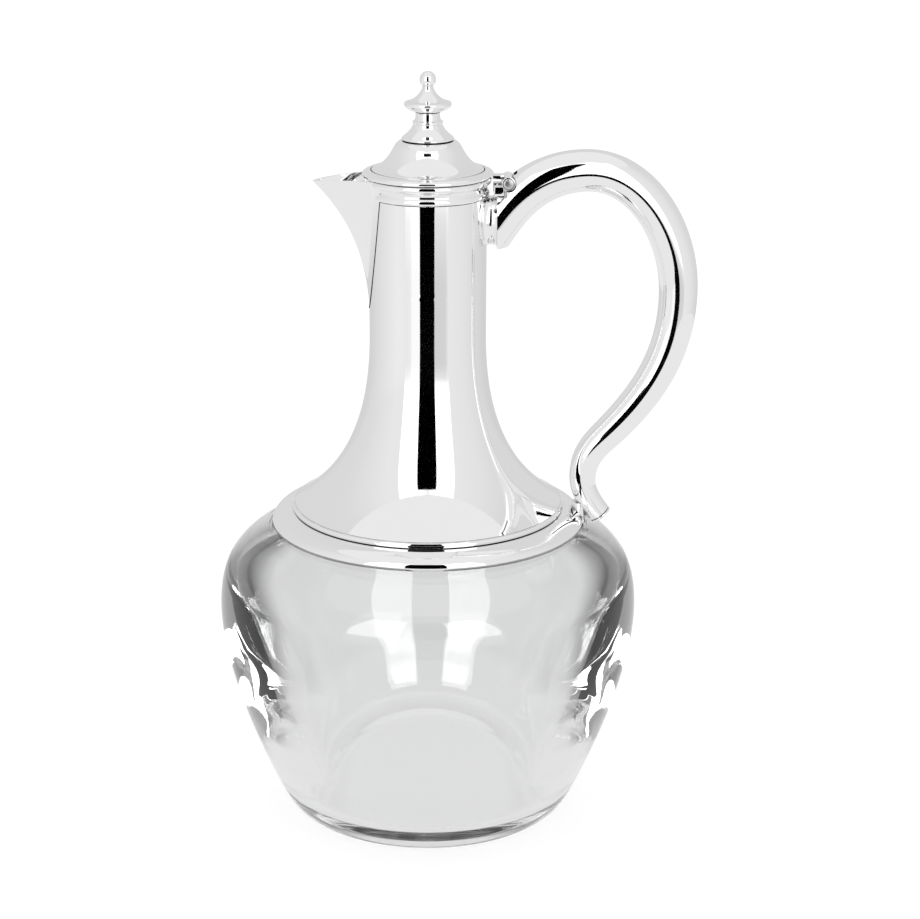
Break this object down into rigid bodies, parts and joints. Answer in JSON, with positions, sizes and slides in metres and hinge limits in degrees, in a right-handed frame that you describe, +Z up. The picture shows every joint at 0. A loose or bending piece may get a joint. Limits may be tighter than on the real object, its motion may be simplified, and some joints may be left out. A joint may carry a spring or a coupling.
{
  "type": "claret jug",
  "caption": "Clear glass jug with a polished silver neck mount, beak spout, hollow scroll handle and hinged lid with turned finial, for water or wine.",
  "frame": {"origin": "centre of the flat base of the glass, on the jug's axis", "axes": "+Z up along the jug's axis, spout towards -X, handle and lid hinge towards +X, symmetric about the XZ plane"},
  "size_m": [0.1697, 0.1502, 0.27],
  "materials": {
    "polished_silver": "polished",
    "clear_glass": "gloss",
    "plaster_cement": "matte",
    "seal_rubber": "matte",
    "fastener_steel": "satin"
  },
  "bodies": {
    "jug": {"glass_body": "clear_glass", "shoulder_cement": "plaster_cement", "neck_seal": "seal_rubber", "neck_sleeve": "polished_silver", "collar_band": "polished_silver", "rim_moulding": "polished_silver", "spout": "polished_silver", "handle_tube": "polished_silver", "handle_end_cap": "polished_silver", "handle_socket": "polished_silver", "handle_foot_pad": "polished_silver", "hinge_knuckle_front": "polished_silver", "hinge_knuckle_back": "polished_silver", "hinge_pin": "fastener_steel"},
    "lid": {"lid_rim": "polished_silver", "lid_dome": "polished_silver", "lid_bezel": "polished_silver", "lid_hinge_knuckle": "polished_silver", "finial_pedestal": "polished_silver", "finial": "polished_silver", "finial_washer": "fastener_steel", "finial_nut": "fastener_steel"}
  },
  "joints": [
    {"name": "lid_hinge", "type": "hinge", "parent": "jug", "child": "lid", "pos_m": [0.0278, 0, 0.232], "axis": [0, 1, 0], "range_deg": [0, 95]}
  ]
}
